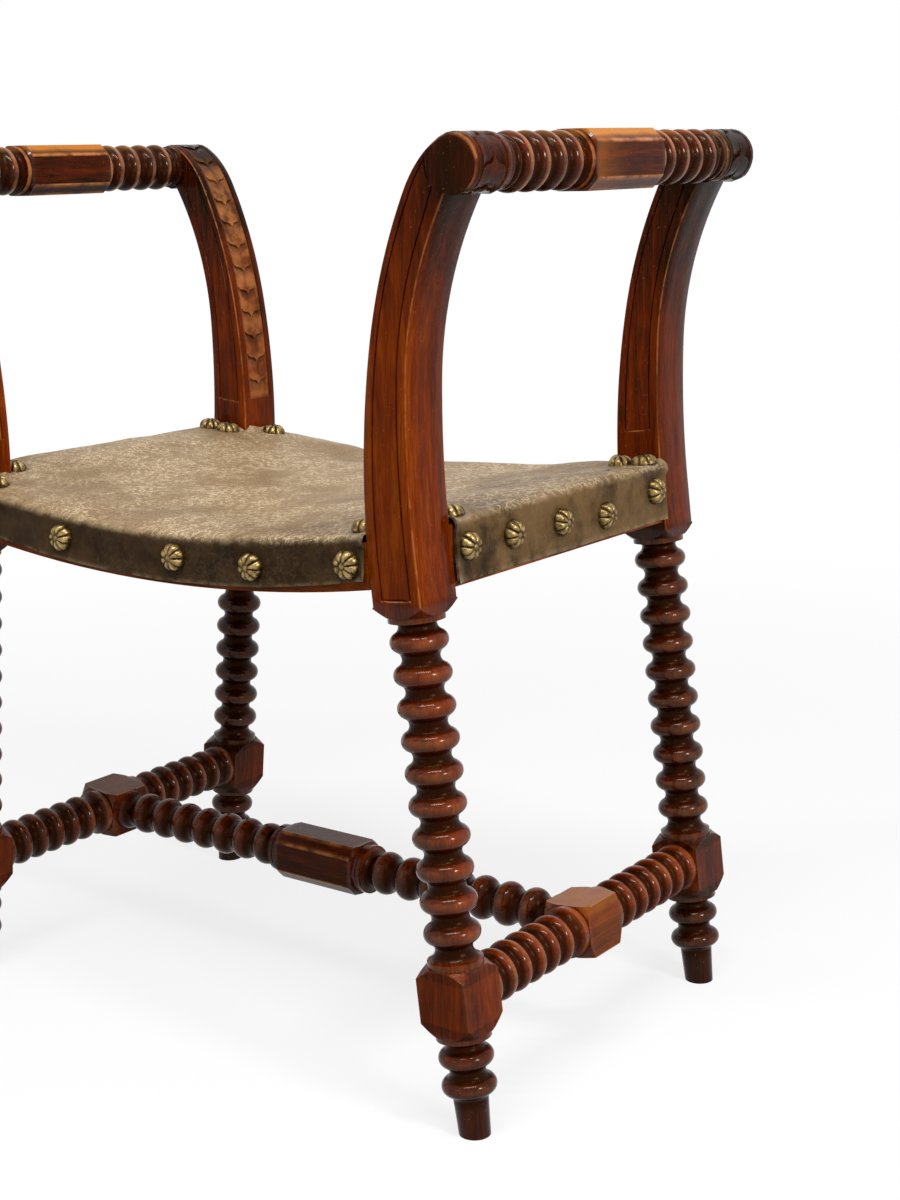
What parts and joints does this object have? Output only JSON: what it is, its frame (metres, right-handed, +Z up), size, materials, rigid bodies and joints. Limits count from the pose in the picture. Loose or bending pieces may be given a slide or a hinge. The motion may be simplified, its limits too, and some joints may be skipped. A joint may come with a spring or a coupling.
{
  "type": "armed stool",
  "caption": "Renaissance-style armed stool: bobbin-turned splayed legs and stretchers, scrolled arm posts with turned arm rails, and a dished leather seat held by brass rosette nails.",
  "frame": {"origin": "on the floor under the middle of the seat", "axes": "+Z up, +Y to the back, +X along the long stretcher to the sitter's left"},
  "size_m": [0.6058, 0.387, 0.701],
  "materials": {
    "walnut": "red-brown stained and waxed, worn lighter on the crests and dark in the hollows",
    "rail_wood": "orange-brown secondary wood, thinly stained",
    "leather": "olive-brown hide, scuffed and pale on top",
    "brass": "aged cast brass, dark in the recesses",
    "steel": "plain steel",
    "blued_steel": "blued",
    "jute": "woven jute webbing",
    "hessian": "plain woven hessian",
    "stuffing": "hair and wadding"
  },
  "bodies": {
    "root": {"arm_rail_left": "walnut", "arm_rail_right": "walnut", "corner_block_front_left": "rail_wood", "corner_block_front_right": "rail_wood", "corner_block_rear_left": "rail_wood", "corner_block_rear_right": "rail_wood", "corner_block_screws": "steel", "cross_stretcher": "walnut", "end_stretcher_left": "walnut", "end_stretcher_right": "walnut", "hessian": "hessian", "leather_cover": "leather", "leather_pins": "brass", "leg_front_left": "walnut", "leg_front_right": "walnut", "leg_rear_left": "walnut", "leg_rear_right": "walnut", "nails_corner_front_left": "brass", "nails_corner_front_right": "brass", "nails_corner_rear_left": "brass", "nails_corner_rear_right": "brass", "nails_front": "brass", "nails_left": "brass", "nails_rear": "brass", "nails_right": "brass", "seat_rail_front": "rail_wood", "seat_rail_left": "rail_wood", "seat_rail_rear": "rail_wood", "seat_rail_right": "rail_wood", "stuffing_pad": "stuffing", "webbing_cross_1": "jute", "webbing_cross_2": "jute", "webbing_cross_3": "jute", "webbing_long_1": "jute", "webbing_long_2": "jute", "webbing_long_3": "jute", "webbing_long_4": "jute", "webbing_long_5": "jute", "webbing_tacks": "blued_steel"}
  },
  "joints": []
}
